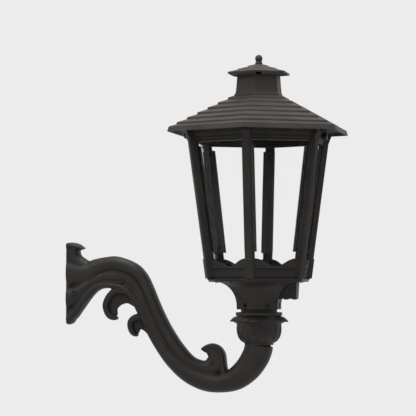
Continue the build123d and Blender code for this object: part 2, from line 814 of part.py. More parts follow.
def cap_bridge():
    """Strip across the flue that carries the stud."""
    half = flue_r * COS30
    strip = block((-half, half), (-bridge_width / 2, bridge_width / 2),
                  (bridge_z, bridge_z + bridge_thickness))
    return strip - rod(stud_r, (0, 0, bridge_z - 1), (0, 0, bridge_z + 9))


def cap_stud():
    return rod(stud_r, (0, 0, bridge_z - 6), (0, 0, finial_top - 8)) + rod(
        stud_r + 2.5, (0, 0, bridge_z - 5), (0, 0, bridge_z))


def hub_bottom():
    return cap_top - 13.0


def cap_spacer():
    low = bridge_z + bridge_thickness
    return rod(spacer_r, (0, 0, low), (0, 0, hub_bottom())) - rod(
        stud_r, (0, 0, low - 1), (0, 0, hub_bottom() + 1))


def vent_cap():
    """Shallow six-sided cap with three courses, open underneath for the hot gases."""
    rim = 4.0
    peak = (stud_r + 3.0, cap_top)
    pitch = (cap_r - stud_r) / cap_courses
    slope = stepped_slope((cap_r, cap_z + rim), peak, pitch, pitch, cap_courses - 1, cap_riser)
    shell = hex_stack([(cap_r, cap_z)] + slope)
    shell -= hex_stack([(cap_r - cap_wall, cap_z), (cap_r - cap_wall, cap_z + 1),
                        (stud_r + 3.0, cap_top - cap_wall)])
    shell += rod(hub_r, (0, 0, hub_bottom()), (0, 0, cap_top - 1))
    return shell - rod(stud_r, (0, 0, hub_bottom() - 1), (0, 0, cap_top + 1))


def finial_nut():
    """Small ball nut on a turned foot."""
    centre = finial_top - finial_r
    ball = Pos(0, 0, centre) * Sphere(finial_r)
    foot = turned([(0, cap_top), (finial_r, cap_top), (finial_r - 0.6, cap_top + 2),
                   (finial_r - 2, centre - 3), (0, centre)])
    return ball + foot - rod(stud_r, (0, 0, cap_top - 1), (0, 0, finial_top - 8))


# ---- roof hinge and lock ----------------------------------------------------------------
def knuckle_limits(which):
    """Five knuckles side by side: 0, 2, 4 on the frame and 1, 3 on the roof."""
    pitch = knuckle_length
    start = -2.5 * pitch + which * pitch
    gap = 0.25
    return start + gap, start + pitch - gap


def hinge_frame_leaf():
    """Bracket on the head ring that carries three knuckles."""
    shelf_z = hinge_z - knuckle_r - 0.6
    limits = knuckle_limits(0)[0], knuckle_limits(4)[1]
    wall = panel_r(shelf_z) * COS30
    leaf_plate = block((hinge_x - knuckle_r, -wall + 3), limits, (shelf_z - hinge_leaf, shelf_z))
    for which in (0, 2, 4):
        y0, y1 = knuckle_limits(which)
        leaf_plate += rod(knuckle_r, (hinge_x, y0, hinge_z), (hinge_x, y1, hinge_z))
        leaf_plate += block((hinge_x - knuckle_r, hinge_x + knuckle_r), (y0, y1), (shelf_z - 1, hinge_z))
    leaf_plate -= frame_core()
    y0, y1 = limits
    return leaf_plate - rod(hinge_pin_r, (hinge_x, y0 - 1, hinge_z), (hinge_x, y1 + 1, hinge_z))


def hinge_pin():
    y0, y1 = knuckle_limits(0)[0], knuckle_limits(4)[1]
    pin = rod(hinge_pin_r, (hinge_x, y0 - 1.5, hinge_z), (hinge_x, y1 + 1.5, hinge_z))
    return pin + rod(hinge_pin_r + 1.2, (hinge_x, y0 - 2.5, hinge_z), (hinge_x, y0 - 0.5, hinge_z))


def hinge_roof_leaf():
    """Two knuckles on an upright leaf fixed under the roof."""
    parts = []
    for which in (1, 3):
        y0, y1 = knuckle_limits(which)
        parts.append(rod(knuckle_r, (hinge_x, y0, hinge_z), (hinge_x, y1, hinge_z)))
        parts.append(block((hinge_x - hinge_leaf / 2, hinge_x + hinge_leaf / 2), (y0, y1),
                           (hinge_z, hinge_z + knuckle_r + 2)))
    y0, y1 = knuckle_limits(1)[0], knuckle_limits(3)[1]
    parts.append(block((hinge_x - hinge_leaf / 2, hinge_x + hinge_leaf / 2), (y0, y1),
                       (hinge_z + knuckle_r + 1, hinge_z + 40)))
    whole = parts[0]
    for piece in parts[1:]:
        whole += piece
    bore = rod(hinge_pin_r + running_gap, (hinge_x, -99, hinge_z), (hinge_x, 99, hinge_z))
    return whole - bore - under_roof_only()


def under_roof_only():
    """Everything above the inner face of the roof, used to trim what hangs from it."""
    shoulder = (eave_r - fascia_lean, eave_z + fascia_height)
    inner_low = (shoulder[0] - roof_wall, shoulder[1] - roof_wall + 1)
    inner_high = (roof_top_r - roof_wall, roof_top_z - roof_wall)
    inside = hex_stack([(eave_r - roof_wall, eave_z), inner_low, inner_high])
    everything = block((-eave_r, eave_r), (-eave_r, eave_r), (eave_z, roof_top_z + 60))
    return everything - inside


def lock_face_x():
    return panel_r(head_top) * COS30


def lock_tab():
    """Slotted tab that hangs from the roof in front of the head ring."""
    x = lock_face_x() + 0.6
    tab = block((x, x + tab_thickness), (-tab_width / 2, tab_width / 2), (lock_z - 7, eave_z + 60))
    slot_half = lock_screw_r + 0.7
    tab -= block((x - 1, x + tab_thickness + 1), (-slot_half, slot_half), (lock_z - 8, lock_z))
    tab -= rod(slot_half, (x - 1, 0, lock_z), (x + tab_thickness + 1, 0, lock_z))
    return tab - under_roof_only()


def roof_lock_screw():
    """Knurled thumb screw that clamps the tab."""
    face = lock_face_x() + 0.6 + tab_thickness + 0.3
    inner = panel_r(lock_z) * COS30 - 3.5
    head = rod(lock_head_r, (face, 0, lock_z), (face + lock_head_length, 0, lock_z))
    for k in range(12):
        angle = math.radians(30 * k)
        y, z = lock_head_r * math.cos(angle), lock_z + lock_head_r * math.sin(angle)
        head -= rod(0.8, (face - 1, y, z), (face + lock_head_length + 1, y, z))
    return head + rod(lock_screw_r, (inner, 0, lock_z), (face, 0, lock_z))


# ---- write every node -------------------------------------------------------------------
def save(name, piece):
    solids = piece if isinstance(piece, list) else [piece]
    solids = [solid for group in solids for solid in group.solids()]
    shape = solids[0] if len(solids) == 1 else Compound(children=solids)
    export_step(shape, f"parts/{name}.step")


def main():
    os.makedirs("parts", exist_ok=True)
    whole_arm = arm()
    save("mounting_plate", mounting_plate())
    save("arm_front_half", half_of(whole_arm, -1))
    save("arm_rear_half", half_of(whole_arm, 1))
    save("arm_screws", arm_screws())
    save("gas_supply_tube", gas_supply_tube())
    save("gas_inlet_nut", gas_inlet_nut())

    on_axis = {
        "leaf_collar": leaf_collar(), "post_tenon": post_tenon(), "tenon_screws": tenon_screws(),
        "lamp_base": lamp_base(), "fitter_set_screws": fitter_set_screws(), "base_screws": base_screws(),
        "control_box": control_box(), "control_box_cover": control_box_cover(),
        "control_box_screws": control_box_screws(), "control_module": control_module(),
        "gas_cock_body": gas_cock_body(), "gas_cock_knob": gas_cock_knob(),
        "burner_tube": burner_tube(), "burner_tip": burner_tip(), "burner_nut": burner_nut(),
        "floor_plate": floor_plate(), "lower_frame_ring": lower_frame_ring(),
        "upper_frame_ring": upper_frame_ring(), "roof": roof(), "chimney": chimney(),
        "cap_bridge": cap_bridge(), "cap_stud": cap_stud(), "cap_spacer": cap_spacer(),
        "vent_cap": vent_cap(), "finial_nut": finial_nut(), "hinge_frame_leaf": hinge_frame_leaf(),
        "hinge_pin": hinge_pin(), "hinge_roof_leaf": hinge_roof_leaf(), "lock_tab": lock_tab(),
        "roof_lock_screw": roof_lock_screw(),
    }
    post, pane, retainer = corner_post(), glass_pane(), glass_retainer()
    for k in range(6):
        on_axis[f"corner_post_{k + 1}"] = around(post, CORNER_ANGLES[k])
        on_axis[f"glass_pane_{k + 1}"] = around(pane, SIDE_ANGLES[k])
        on_axis[f"glass_retainer_{k + 1}"] = around(retainer, CORNER_ANGLES[k])
    on_axis["retainer_screws"] = [around(screw, angle) for angle in CORNER_ANGLES
                                  for screw in retainer_screw_rods(retainer_screw_r, 2.0)]
    for name, piece in on_axis.items():
        placed = [LANTERN * item for item in piece] if isinstance(piece, list) else LANTERN * piece
        save(name, placed)


main()
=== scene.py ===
import math

import bmesh
import bpy
import numpy as np
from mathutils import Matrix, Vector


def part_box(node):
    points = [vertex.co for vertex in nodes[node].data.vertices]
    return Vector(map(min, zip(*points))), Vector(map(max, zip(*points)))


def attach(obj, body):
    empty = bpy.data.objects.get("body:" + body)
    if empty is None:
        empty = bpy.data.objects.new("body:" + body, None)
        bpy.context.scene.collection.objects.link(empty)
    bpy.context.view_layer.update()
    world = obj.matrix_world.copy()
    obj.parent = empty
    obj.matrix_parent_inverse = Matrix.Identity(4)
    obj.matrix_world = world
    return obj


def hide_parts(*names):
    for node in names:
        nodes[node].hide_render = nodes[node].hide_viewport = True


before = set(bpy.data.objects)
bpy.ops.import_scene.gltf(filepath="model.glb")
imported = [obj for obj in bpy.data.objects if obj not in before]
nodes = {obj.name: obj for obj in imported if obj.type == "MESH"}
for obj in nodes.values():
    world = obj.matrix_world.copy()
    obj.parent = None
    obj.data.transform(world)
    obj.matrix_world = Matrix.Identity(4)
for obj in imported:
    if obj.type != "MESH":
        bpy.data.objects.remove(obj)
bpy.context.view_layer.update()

# ---- wall plate ---------------------------------------------------------------------------
# Rolled steel plate with a welded tongue, zinc plated against rust. It is bolted to the wall
# first, the arm then hides it. Zinc gives a pale grey sheen with soft crystal blotches.
MM = 0.001
BRACKET = "bracket_and_lantern"


def linear(colour):
    """sRGB hex to linear RGBA: below 0.04045 it is c / 12.92, above ((c + 0.055) / 1.055) ^ 2.4."""
    c = np.array([int(colour[k:k + 2], 16) for k in (1, 3, 5)]) / 255
    return (*np.where(c <= 0.04045, c / 12.92, ((c + 0.055) / 1.055) ** 2.4), 1.0)


def add(tree, kind, inputs=None, **settings):
    """Adds a node with its settings; an input is a value or the output socket it is linked from."""
    node = tree.nodes.new(kind)
    for name, value in settings.items():
        setattr(node, name, value)
    for name, value in (inputs or {}).items():
        if isinstance(value, bpy.types.NodeSocket):
            tree.links.new(value, node.inputs[name])
        else:
            node.inputs[name].default_value = value
    return node


def finish(name, dark, light, blotch, grain, bump, roughness, metallic=0.0, stretch=(1, 1, 1)):
    """Surface whose colour drifts from dark to light over blotches, while its grain sets roughness
    between two values and raises a bump. Blotch, grain and bump height are in millimetres."""
    material = bpy.data.materials.new(name)
    material.use_nodes = True
    tree = material.node_tree
    shader = tree.nodes["Principled BSDF"]
    place = add(tree, "ShaderNodeTexCoord").outputs["Object"]
    place = add(tree, "ShaderNodeMapping", {"Vector": place, "Scale": stretch}).outputs["Vector"]
    wide = add(tree, "ShaderNodeTexNoise", {"Vector": place, "Scale": 1 / (blotch * MM), "Detail": 4.0})
    fine = add(tree, "ShaderNodeTexNoise", {"Vector": place, "Scale": 1 / (grain * MM), "Detail": 2.0})
    tone = add(tree, "ShaderNodeValToRGB", {"Fac": wide.outputs["Fac"]})
    for stop, at, colour in zip(tone.color_ramp.elements, (0.35, 0.65), (dark, light)):
        stop.position, stop.color = at, linear(colour)
    gloss = add(tree, "ShaderNodeMapRange", {
        "Value": fine.outputs["Fac"], "From Min": 0.3, "From Max": 0.7,
        "To Min": roughness[0], "To Max": roughness[1]})
    height = add(tree, "ShaderNodeBump", {
        "Height": fine.outputs["Fac"], "Strength": 1.0, "Distance": bump * MM})
    tree.links.new(tone.outputs["Color"], shader.inputs["Base Color"])
    tree.links.new(gloss.outputs["Result"], shader.inputs["Roughness"])
    tree.links.new(height.outputs["Normal"], shader.inputs["Normal"])
    shader.inputs["Metallic"].default_value = metallic
    return material


def paint(material, *names):
    """Gives CAD nodes that keep their shape their material."""
    for name in names:
        nodes[name].data.materials.clear()
        nodes[name].data.materials.append(material)


zinc_plate = finish("zinc plated steel", "#8E8F8D", "#A9AAA6", 6, 0.5, 0.01, (0.32, 0.48), metallic=1.0)
paint(zinc_plate, "mounting_plate")

# ---- arm ----------------------------------------------------------------------------------
# Two hollow sand castings of aluminium, front and rear, that meet on the middle plane of the
# scroll. Long rolls and curling leaves are cast in one piece with it, then powder coated.
# Black powder with a little brown in it gives a satin skin with a faint orange peel.
WALL_X = 0.0
AXIS_X = (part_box("lamp_base")[0][0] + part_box("lamp_base")[1][0]) / 2 / MM
NECK_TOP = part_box("leaf_collar")[0][2] / MM
SPIGOT_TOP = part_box("post_tenon")[0][2] / MM


def powder_coat(name, dark, light, roughness):
    """Satin powder coat: blotches 60 mm wide, orange peel 1.6 mm wide (real peel is finer)."""
    material = finish(name, dark, light, 60, 1.6, 0.05, roughness)
    shader = material.node_tree.nodes["Principled BSDF"]
    shader.inputs["IOR"].default_value = 1.46
    shader.inputs["Specular IOR Level"].default_value = 0.3
    return material


coat = powder_coat("black powder coated cast aluminium", "#191614", "#221E1A", (0.46, 0.6))


def smooth_route(stations, steps=12):
    """Points along cubics through the stations, each aimed along the line between its neighbours:
    p(t) = (2b + (c - a)t + (2a - 5b + 4c - d)t^2 + (3b - a - 3c + d)t^3) / 2."""
    p = np.asarray(stations, float)
    p = np.vstack([2 * p[0] - p[1], p, 2 * p[-1] - p[-2]])
    a, b, c, d = (q[:, None, :] for q in (p[:-3], p[1:-2], p[2:-1], p[3:]))
    t = np.linspace(0, 1, steps, endpoint=False)[None, :, None]
    run = (2 * b + (c - a) * t + (2 * a - 5 * b + 4 * c - d) * t ** 2 + (3 * b - a - 3 * c + d) * t ** 3) / 2
    return np.vstack([run.reshape(-1, p.shape[1]), p[-2:-1]])


def grid_faces(rows, columns, closed_rows=False, closed_columns=True, start=0):
    """Quads between neighbouring points of a grid, joined end to end where it is closed."""
    i = np.arange(rows if closed_rows else rows - 1)[:, None]
    j = np.arange(columns if closed_columns else columns - 1)[None, :]
    i2, j2 = (i + 1) % rows, (j + 1) % columns
    corners = [i * columns + j, i * columns + j2, i2 * columns + j2, i2 * columns + j]
    return start + np.stack(np.broadcast_arrays(*corners), -1).reshape(-1, 4)


def roll(stations, power=2.4, around=36):
    """Bar along a curve in the XZ plane, through stations (x, z, half thickness, half width).
    Its section is |n / thickness|^power + |y / width|^power = 1, n across the curve in the plane."""
    run = smooth_route(stations)
    along = np.gradient(run[:, :2], axis=0)
    along /= np.linalg.norm(along, axis=1, keepdims=True)
    turn = np.linspace(0, 2 * np.pi, around, endpoint=False)
    n = np.sign(np.cos(turn)) * np.abs(np.cos(turn)) ** (2 / power)
    y = np.sign(np.sin(turn)) * np.abs(np.sin(turn)) ** (2 / power)
    thick, wide = np.maximum(run[:, 2:4].T, 0.2)[:, :, None]
    points = np.stack([run[:, :1] - along[:, 1:] * thick * n,
                       np.broadcast_to(wide * y, (len(run), around)),
                       run[:, 1:2] + along[:, :1] * thick * n], -1)
    caps = points.mean(1, keepdims=True).repeat(around, 1)
    points = np.concatenate([caps[:1], points, caps[-1:]])
    return points.reshape(-1, 3), grid_faces(len(points), around)


def joined(shells):
    """Several (points, faces) shells as one."""
    starts = np.cumsum([0] + [len(points) for points, _ in shells[:-1]])
    return (np.concatenate([points for points, _ in shells]),
            np.concatenate([faces + start for (_, faces), start in zip(shells, starts)]))


def as_mesh(name, points, faces):
    """Mesh in metres from points in millimetres, with poles merged and faces turned outwards."""
    mesh = bpy.data.meshes.new(name)
    mesh.from_pydata((points * MM).tolist(), [], faces.tolist())
    work = bmesh.new()
    work.from_mesh(mesh)
    bmesh.ops.remove_doubles(work, verts=work.verts, dist=0.002 * MM)
    bmesh.ops.dissolve_degenerate(work, edges=work.edges, dist=0.001 * MM)
    bmesh.ops.recalc_face_normals(work, faces=work.faces)
    work.to_mesh(mesh)
    work.free()
    return mesh


def add_piece(mesh, body, material, replaces=(), bevel=0.0, sharp=35):
    """Object for a mesh: smooth shading but for edges over the sharp angle, bevel in millimetres."""
    piece = bpy.data.objects.new(mesh.name, mesh)
    bpy.context.scene.collection.objects.link(piece)
    mesh.materials.clear()
    mesh.materials.append(material)
    mesh.polygons.foreach_set("use_smooth", np.ones(len(mesh.polygons), bool))
    mesh.set_sharp_from_angle(angle=math.radians(sharp))
    if bevel:
        soft = piece.modifiers.new("rounded edges", "BEVEL")
        soft.width, soft.segments, soft.limit_method = bevel * MM, 2, "ANGLE"
        soft.angle_limit, soft.harden_normals = math.radians(sharp), True
    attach(piece, body)
    if replaces:
        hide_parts(*replaces)
    return piece


# Upper roll: leaves the wall broad, narrows over the crest, runs down the diagonal and ends in
# the curl that stands up from the bottom bend. Stations are (x, z, half thickness, half width).
upper_roll = [
    (-12, 27, 31, 26), (18, 22, 28, 26), (42, 25, 23, 25), (62, 36, 18, 23), (84, 42, 16, 22),
    (107, 43.5, 15.5, 22), (141, 32, 14.5, 22), (160, 15, 13.5, 22), (173, -9, 13, 22),
    (185, -38, 13, 22), (200, -71, 13, 22), (217, -103, 13.5, 22), (240, -138, 14.5, 21),
    (268, -167, 15, 20), (300, -178, 18, 18.5), (320, -165, 21, 16.5), (319, -147, 19, 15.5),
    (307, -137, 12, 14), (296, -136, 7, 12), (289, -136.5, 1.5, 10)]
# Middle band: the plain strip that carries the screws, between the two rolls.
middle_band = [
    (-10, -30, 30, 26), (14, -24, 22, 26), (40, -4, 13, 22), (62, 10, 12, 18), (85, 17, 13, 15),
    (111, 15, 15, 14), (134, 5, 15, 14), (152, -14, 13, 15), (165, -40, 11, 17), (180, -70, 10, 18),
    (196, -103, 9, 17), (220, -143, 9, 16)]
# Lower roll: springs from the drooping leaf at the wall and sweeps round the bend to the neck.
lower_roll = [
    (-8, -77, 7, 24), (8, -68, 11, 23), (25, -47, 10.5, 22), (43, -24, 9.5, 21), (60, -8, 8.5, 20),
    (78, -1.5, 7.5, 20), (98, -2, 8, 20), (124, -10, 9, 20), (145, -29, 10, 20), (160, -54, 11, 20),
    (173, -80, 11.5, 20), (188, -107, 12.5, 20), (206, -134, 14, 21), (230, -163, 16, 22),
    (262, -189, 18.5, 23), (298, -204, 20.5, 24), (332, -207, 20.5, 25), (362, -198, 24.5, 26),
    (387, -178, 27.5, 27), (403, -155, 29, 28.5), (410, -138, 29.5, 29.5),
    (412, NECK_TOP + 0.4, 29.7, 29.7)]
spigot = [(412, NECK_TOP - 12, 24.6, 24.6), (412, NECK_TOP, 24.6, 24.6), (412, SPIGOT_TOP, 24.6, 24.6)]
# Leaves: a raised rim round the outside of each curl and a thinner web that sinks inside it.
wall_leaf_rim = [
    (-8, 79, 8, 25), (4, 82, 7, 25), (14, 81.5, 7, 24.5), (24, 78.5, 6.5, 23), (33, 76.5, 1.6, 20)]
wall_leaf_web = [(46, 20, 27, 22), (30, 36, 20, 22), (17, 50, 16, 22), (12, 62, 14.5, 21.5), (11, 76, 13, 21)]
wall_leaf_drop = [(8, -66, 9, 23), (5, -76, 9, 22.5), (-1, -83, 5, 21)]
wall_pad = [(0, -78, 8, 21), (0, -60, 11, 22), (0, 0, 12, 22), (0, 60, 12, 22), (0, 78, 8, 21)]
large_rim = [
    (150, -30, 9, 17), (128, -16, 8.5, 17), (107, -14, 8, 17), (92, -25, 8, 17), (83.5, -44, 8, 16),
    (88, -62, 7.5, 15), (97, -69.5, 7, 14.5), (107.5, -72.5, 3.2, 12)]
large_web = [
    (162, -50, 12, 7), (150, -36, 14, 5), (130, -27, 14, 4), (110, -33, 13, 4), (98, -48, 11, 4),
    (101, -66, 7.5, 4)]
small_rim = [
    (176, -80, 8, 16), (162, -70.5, 7.5, 15.5), (147, -71, 7.5, 15), (137.5, -80, 7.5, 14.5),
    (137.5, -93, 7, 14), (143, -103, 6.5, 13.5), (151, -109, 3.2, 11.5)]
small_web = [
    (186, -100, 14, 7), (172, -88, 13, 5), (160, -84, 12, 4), (150, -88, 10, 4), (147.5, -102, 7.5, 4)]
backing = [
    (-10, -4, 20, 16), (30, 10, 17, 14), (62, 25, 16, 13), (100, 29, 16, 13), (130, 22, 16, 13),
    (152, 3, 16, 13), (175, -48, 15, 13), (203, -106, 15, 13), (240, -165, 16, 14), (285, -192, 18, 16)]
curl_rim = [
    (338, -188, 8, 20), (336, -165, 7, 20), (333, -146, 7, 19.5), (323, -133.5, 6.5, 18.5),
    (308, -129.5, 5, 17), (289.5, -136, 1.2, 12)]
shells = joined([roll(r) for r in (
    upper_roll, middle_band, lower_roll, backing, wall_pad, wall_leaf_rim, wall_leaf_web, wall_leaf_drop,
    large_rim, large_web, small_rim, small_web, curl_rim)] + [roll(spigot, power=2.0)])
pattern = bpy.data.objects.new("arm pattern", as_mesh("arm pattern", *shells))
bpy.context.scene.collection.objects.link(pattern)
blended = pattern.modifiers.new("one casting", "REMESH")
VOXEL = 1.5
blended.mode, blended.voxel_size = "VOXEL", VOXEL * MM
eased = pattern.modifiers.new("soft creases", "SMOOTH")
eased.factor, eased.iterations = 0.5, 5
# The bore for the gas tube, and a counterbore for each of the three screws: (x, depth, z).
counterbores = [(18, -26, -18), (120, -14, 9), (315, -14, -166)]
COUNTERBORE_R = 5.5


def peg(start, end, radius, around=32):
    """Closed cylinder between two points."""
    start, end = np.array(start, float), np.array(end, float)
    along = (end - start) / np.linalg.norm(end - start)
    side = np.cross(along, (0.3, 0.5, 0.8))
    side /= np.linalg.norm(side)
    turn = np.linspace(0, 2 * np.pi, around, endpoint=False)[:, None]
    ring = radius * (np.cos(turn) * side + np.sin(turn) * np.cross(along, side))
    centre = np.zeros_like(ring)
    points = np.stack([start + centre, start + ring, end + ring, end + centre])
    return points.reshape(-1, 3), grid_faces(4, around)


bore = roll([
    (-20, -4, 9.5, 9.5), (0, 5, 9.5, 9.5), (30, 19, 9, 9), (62, 31, 9, 9), (100, 33, 9, 9), (130, 25, 9, 9),
    (152, 5, 9, 9), (172, -45, 9, 9), (200, -108, 9, 9), (238, -165, 10, 10), (285, -196, 11, 11),
    (335, -203, 12, 12), (382, -180, 14, 14), (406, -150, 16, 16), (412, -120, 17, 17),
    (412, -90, 17, 17)], power=2.0)
screw_seats = [peg((x, -60, z), (x, face, z), COUNTERBORE_R) for x, face, z in counterbores]
core = bpy.data.objects.new("arm core", as_mesh("arm core", *joined([bore] + screw_seats)))
bpy.context.scene.collection.objects.link(core)
plate_low, plate_high = (np.array(c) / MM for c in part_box("mounting_plate"))
hollow = pattern.modifiers.new("cored out", "BOOLEAN")
hollow.operation, hollow.object, hollow.solver = "DIFFERENCE", core, "EXACT"


def slab(low, high):
    """Closed block between two corners."""
    x, y, z = np.array([low, high], float).T
    ring = np.array([(x[0], y[0]), (x[1], y[0]), (x[1], y[1]), (x[0], y[1])])
    points = [np.column_stack([ring, np.full(4, level)]) for level in (z[0], z[0], z[1], z[1])]
    points[0][:] = points[0].mean(0)
    points[3][:] = points[3].mean(0)
    return np.concatenate(points), grid_faces(4, 4)


PLATE, CLEAR = 5.0, 0.1
room = slab((-20, plate_low[1] - CLEAR, plate_low[2] - CLEAR),
            (PLATE + CLEAR, plate_high[1] + CLEAR, plate_high[2] + CLEAR))
pocket = bpy.data.objects.new("plate pocket", as_mesh("plate pocket", *room))
bpy.context.scene.collection.objects.link(pocket)
seat = pattern.modifiers.new("plate pocket", "BOOLEAN")
seat.operation, seat.object, seat.solver = "DIFFERENCE", pocket, "EXACT"
room = slab((0, -5.1, -31.1), (31.1, 5.1, -7.9))
slot_cut = bpy.data.objects.new("tongue slot", as_mesh("tongue slot", *room))
bpy.context.scene.collection.objects.link(slot_cut)
tongue = pattern.modifiers.new("tongue slot", "BOOLEAN")
tongue.operation, tongue.object, tongue.solver = "DIFFERENCE", slot_cut, "EXACT"
bpy.context.view_layer.update()
casting = bpy.data.meshes.new_from_object(pattern.evaluated_get(bpy.context.evaluated_depsgraph_get()))
for helper in (pattern, core, pocket, slot_cut):
    bpy.data.objects.remove(helper)
SEAM = 0.08
for node, side in (("arm_front_half", -1), ("arm_rear_half", 1)):
    work = bmesh.new()
    work.from_mesh(casting)
    for spot, outwards in (((WALL_X, 0, 0), (-1, 0, 0)), ((0, side * SEAM * MM, 0), (0, -side, 0))):
        cut = bmesh.ops.bisect_plane(work, geom=work.verts[:] + work.edges[:] + work.faces[:], dist=1e-6,
                                     plane_co=spot, plane_no=outwards, clear_outer=True)
        rims = [e for e in cut["geom_cut"] if isinstance(e, bmesh.types.BMEdge)]
        bmesh.ops.triangle_fill(work, edges=rims, use_beauty=False)
    bmesh.ops.recalc_face_normals(work, faces=work.faces)
    half = bpy.data.meshes.new(node.replace("half", "casting"))
    work.to_mesh(half)
    work.free()
    add_piece(half, BRACKET, coat, replaces=(node,), sharp=60)
blackened = finish("blackened steel", "#161514", "#22201F", 8, 0.6, 0.01, (0.34, 0.5), metallic=0.5)
paint(blackened, "arm_screws")

# ---- gas line -----------------------------------------------------------------------------
# Drawn copper tube, gone brown with age, and a turned brass compression nut. The tube runs
# inside the arm, and its open end shows in the middle of the mounting face.
copper = finish("aged drawn copper", "#8A5236", "#B8754E", 9, 0.7, 0.01, (0.28, 0.46), metallic=1.0)
brass = finish("turned brass", "#8F7136", "#B7964F", 7, 0.5, 0.01, (0.26, 0.42), metallic=1.0)
paint(copper, "gas_supply_tube")
paint(brass, "gas_inlet_nut", "burner_tube", "burner_nut", "gas_cock_body")

# ---- leaf collar and tenon ----------------------------------------------------------------
# Cast cup round the tenon: petals below, a rim on top and four leaf tips that curl out and
# down between them. One coated aluminium casting.
PETALS, PETAL_DEPTH = 14, 2.4
UNDERSIDE_R, PETAL_DIP = 43, 1.2
turn = np.linspace(0, 2 * np.pi, 288, endpoint=False)
leaves = ((1 + np.cos(4 * turn)) / 2) ** 1.3
petals = np.abs(np.cos(PETALS * turn / 2)) ** 0.9 - 1


def lathe(rows):
    """Ring about the lantern axis from closed rows (radius, height, leaf out, leaf up, petal):
    radius = r + leaf out * leaves(a) + petal * depth * petals(a), height = z + leaf up * leaves(a).
    On the underside of the cup the petals also rise between one another by the dip."""
    r, z, leaf_out, leaf_up, petal = np.array(rows, float).T[:, :, None]
    radius = r + leaf_out * leaves + PETAL_DEPTH * petal * petals
    height = z + leaf_up * leaves - PETAL_DIP * petal * (r < UNDERSIDE_R) * petals
    height = np.broadcast_to(height, radius.shape)
    points = np.stack([AXIS_X + radius * np.cos(turn), radius * np.sin(turn), height], -1)
    return points.reshape(-1, 3), grid_faces(len(rows), len(turn), closed_rows=True)


collar_rows = [
    (30.2, -127, 0, 0, 0), (31.5, -122.6, 0, 0, 0.3), (36.4, -120.4, 0, 0, 1), (40.6, -116.6, 0, 0, 1),
    (44, -111.4, 0, 0, 1), (46.4, -105, 0, 0, 1), (47.6, -98, 0, 0, 1), (47.9, -92, 0, 0, 0.9),
    (47.3, -86, 0, 0, 0.6), (46.4, -82.5, 1, -0.5, 0.2), (46.5, -80, 3, -1.2, 0),
    (47.2, -78, 8.5, -0.6, 0), (47.8, -76.6, 14.5, -2.2, 0), (47.6, -75.3, 13.6, -0.8, 0),
    (46.6, -73, 10.2, 1.6, 0), (45.4, -70.6, 6, 2.8, 0), (44.6, -68.6, 2, 1.8, 0),
    (44.4, -66.8, 0.4, 0.4, 0), (47.6, -65.9, 0, 0, 0), (48.8, -65, 0, 0, 0), (48.8, -59.4, 0, 0, 0),
    (47.9, -58.5, 0, 0, 0), (38.3, -58.5, 0, 0, 0), (38.3, SPIGOT_TOP, 0, 0, 0),
    (25.3, SPIGOT_TOP, 0, 0, 0), (25.3, -127, 0, 0, 0)]
add_piece(as_mesh("leaf_cup", *lathe(collar_rows)), BRACKET, coat,
          replaces=("leaf_collar",), sharp=40)
paint(coat, "post_tenon")
paint(blackened, "tenon_screws")

# ---- lamp base ----------------------------------------------------------------------------
# Cast six-sided trumpet that drops on the tenon; grub screws in its neck lock it. The flare is
# a quarter ellipse, upright at the neck and level under the lantern.
hexagon = np.radians(-90 + 60 * np.arange(7))
hexagon = np.stack([np.cos(hexagon), np.sin(hexagon)], -1)


def hex_ring(rows, across=1, lift=None, lean=0.0):
    """Six-sided ring round the lantern axis. Each row (corner radius, height, share) runs straight
    from corner to corner; lift(t), t from -1 to 1 along a side, raises it by its share, and the
    radius grows by lean for each millimetre of that."""
    r, z, share = np.array([(*row, 0)[:3] for row in rows], float).T[:, :, None]
    part = np.linspace(0, 1, across, endpoint=False)
    edge = (hexagon[:-1, None] * (1 - part[:, None]) + hexagon[1:, None] * part[:, None]).reshape(-1, 2)
    rise = share * np.tile(lift(2 * part - 1), 6) if lift else 0 * share
    radius, height = np.broadcast_arrays(r + lean * rise, z + rise + 0 * edge[:, 0])
    points = np.stack([AXIS_X + radius * edge[:, 0], radius * edge[:, 1], height], -1)
    return points.reshape(-1, 3), grid_faces(len(rows), len(edge), closed_rows=True)


def flare(r_low, z_low, r_high, z_high, steps=20):
    """Quarter ellipse: r = high - (high - low) cos t, z = low + (high - low) sin t."""
    t = np.linspace(0, np.pi / 2, steps + 1)
    return list(zip(r_high - (r_high - r_low) * np.cos(t), z_low + (z_high - z_low) * np.sin(t)))


def drilled(name, shell, pegs):
    """Mesh of a shell with closed pegs cut out of it."""
    body = bpy.data.objects.new(name, as_mesh(name, *shell))
    tool = bpy.data.objects.new(name + " drill", as_mesh(name + " drill", *joined(pegs)))
    for item in (body, tool):
        bpy.context.scene.collection.objects.link(item)
    cut = body.modifiers.new("drilled", "BOOLEAN")
    cut.operation, cut.object, cut.solver = "DIFFERENCE", tool, "EXACT"
    bpy.context.view_layer.update()
    mesh = bpy.data.meshes.new_from_object(body.evaluated_get(bpy.context.evaluated_depsgraph_get()))
    for item in (body, tool):
        bpy.data.objects.remove(item)
    mesh.name = name
    return mesh


base_rows = ([(49.6, -52.5), (50, -52.1)] + flare(50, -45.5, 97, 4.6)
             + [(111.6, 5.2), (112, 5.6), (112, 8.1), (80, 8.1)] + flare(45, -28, 80, 3)[::-1]
             + [(37, -28), (37, -32), (44.2, -32), (44.2, -52.5)])
GRUB_Z, GRUB_R, COCK_Z, COCK_R = -44.5, 6.1, -23, 4.5


def spoke(angle, near, far, z, radius):
    """Closed peg straight out from the lantern axis."""
    x, y = math.cos(angle), math.sin(angle)
    return peg((AXIS_X + near * x, near * y, z), (AXIS_X + far * x, far * y, z), radius)


